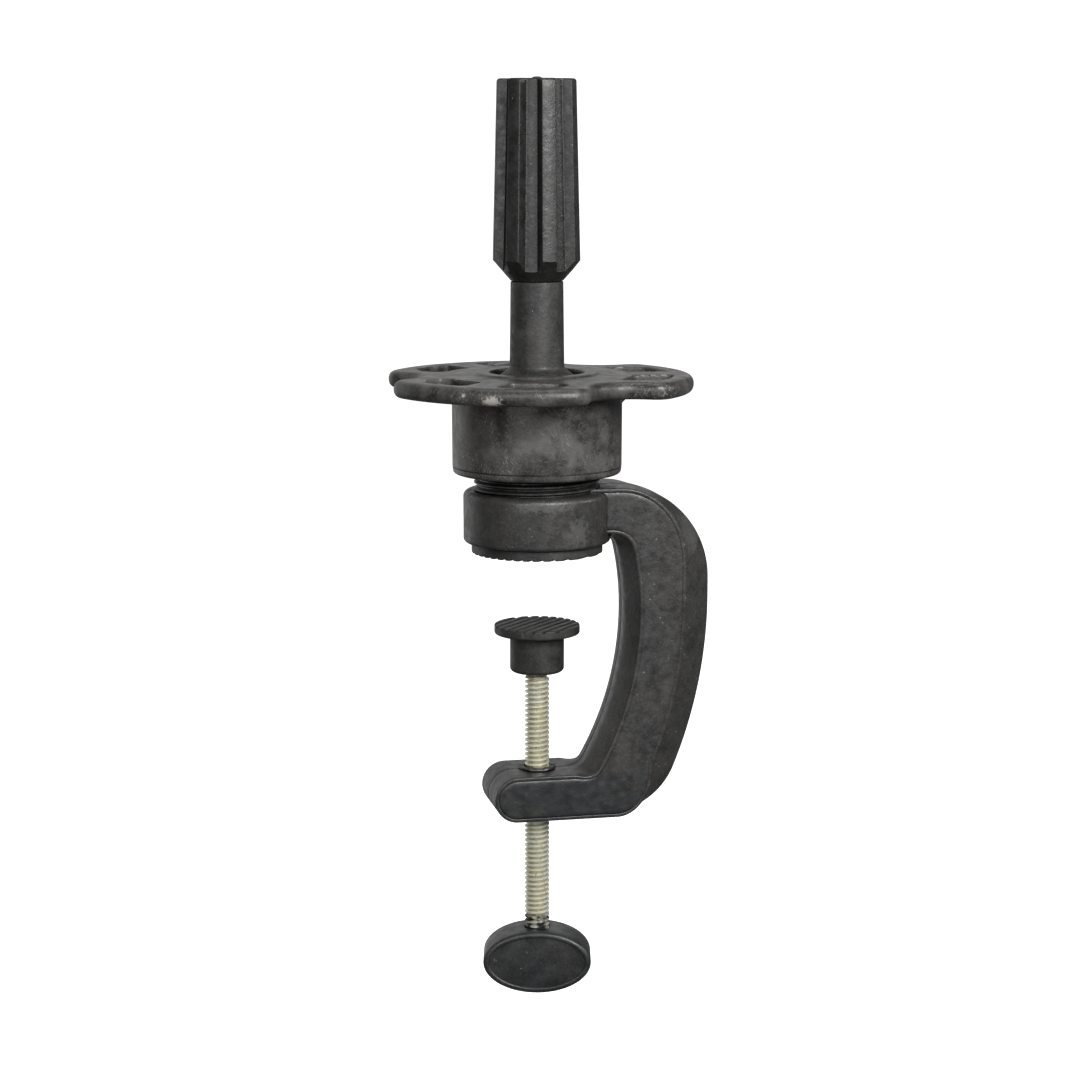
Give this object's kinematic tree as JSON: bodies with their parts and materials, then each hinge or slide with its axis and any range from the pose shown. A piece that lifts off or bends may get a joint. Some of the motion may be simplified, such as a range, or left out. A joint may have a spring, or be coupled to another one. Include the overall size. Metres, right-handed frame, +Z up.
{
  "type": "table-clamp mannequin head holder",
  "caption": "Table clamp with a screw and swivel pad, carrying a wheel-locked ball joint and an upright ribbed spigot that holds a hairdresser's training head.",
  "frame": {"origin": "on the post's axis, in the upper jaw's flat face that rests on the table top", "axes": "+Z up along the post, +X from the post's axis towards the spine of the C, +Y to the back"},
  "size_m": [0.1296, 0.124, 0.3676],
  "materials": {
    "frame_plastic": "fine-grained moulded black plastic, lightly speckled and rubbed pale on edges",
    "jaw_plastic": "matte black moulding with a scored rim",
    "wheel_plastic": "satin black plastic with a pale scuff on the rim and fine scratches on the skirt",
    "post_plastic": "mottled dark grey moulding",
    "spigot_plastic": "satin black moulding, ribs rubbed slightly paler",
    "knob_plastic": "smooth satin black moulding",
    "pad_plastic": "matte black moulding with a ridged face",
    "screw_steel": "bright zinc plate, slightly yellow",
    "zinc_steel": "zinc plate",
    "seat_nylon": "smooth natural nylon",
    "fibre_rubber": "matte black rubber"
  },
  "bodies": {
    "base": {"c_frame": "frame_plastic", "upper_jaw_pad": "jaw_plastic", "arm_nut": "zinc_steel", "nut_plug": "frame_plastic", "top_bush": "frame_plastic", "seat_washer": "fibre_rubber"},
    "seat": {"ball_seat": "seat_nylon", "seat_clip": "zinc_steel"},
    "mast": {"post": "post_plastic", "post_bolt": "zinc_steel", "bolt_washer": "zinc_steel", "spigot_cone": "spigot_plastic", "spigot_nut": "zinc_steel"},
    "clamp_ring": {"pressure_ring": "seat_nylon"},
    "wheel": {"lock_wheel": "wheel_plastic"},
    "screw_end": {"thrust_washer": "zinc_steel"},
    "screw": {"clamp_screw": "screw_steel", "knob": "knob_plastic"},
    "pad": {"swivel_pad": "pad_plastic", "pad_socket": "seat_nylon", "pad_clip": "zinc_steel"}
  },
  "joints": [
    {"name": "post_swivel", "type": "hinge", "parent": "base", "child": "seat", "pos_m": [0, 0, 0.053], "axis": [0, 0, 1], "continuous": true},
    {"name": "post_tilt", "type": "hinge", "parent": "seat", "child": "mast", "pos_m": [0, 0, 0.053], "axis": [0, 1, 0], "range_deg": [-16, 16]},
    {"name": "wheel_lift", "type": "slide", "parent": "base", "child": "clamp_ring", "axis": [0, 0, 1], "range_m": [0, 0.005]},
    {"name": "wheel_turn", "type": "hinge", "parent": "clamp_ring", "child": "wheel", "pos_m": [0, 0, 0.0677], "axis": [0, 0, 1], "range_deg": [0, 720]},
    {"name": "pad_feed", "type": "slide", "parent": "base", "child": "screw_end", "axis": [0, 0, 1], "range_m": [-0.0375, 0.0275]},
    {"name": "screw_turn", "type": "hinge", "parent": "screw_end", "child": "screw", "pos_m": [0, 0, -0.041], "axis": [0, 0, 1], "range_deg": [-6750, 4950]},
    {"name": "pad_tilt", "type": "hinge", "parent": "screw_end", "child": "pad", "pos_m": [0, 0, -0.041], "axis": [0, 1, 0], "range_deg": [-6, 6]}
  ],
  "couplings": [
    {"joint": "wheel_lift", "follows": "wheel_turn", "m_per_rad": 0.00039789},
    {"joint": "screw_turn", "follows": "pad_feed", "rad_per_m": 3141.6}
  ]
}
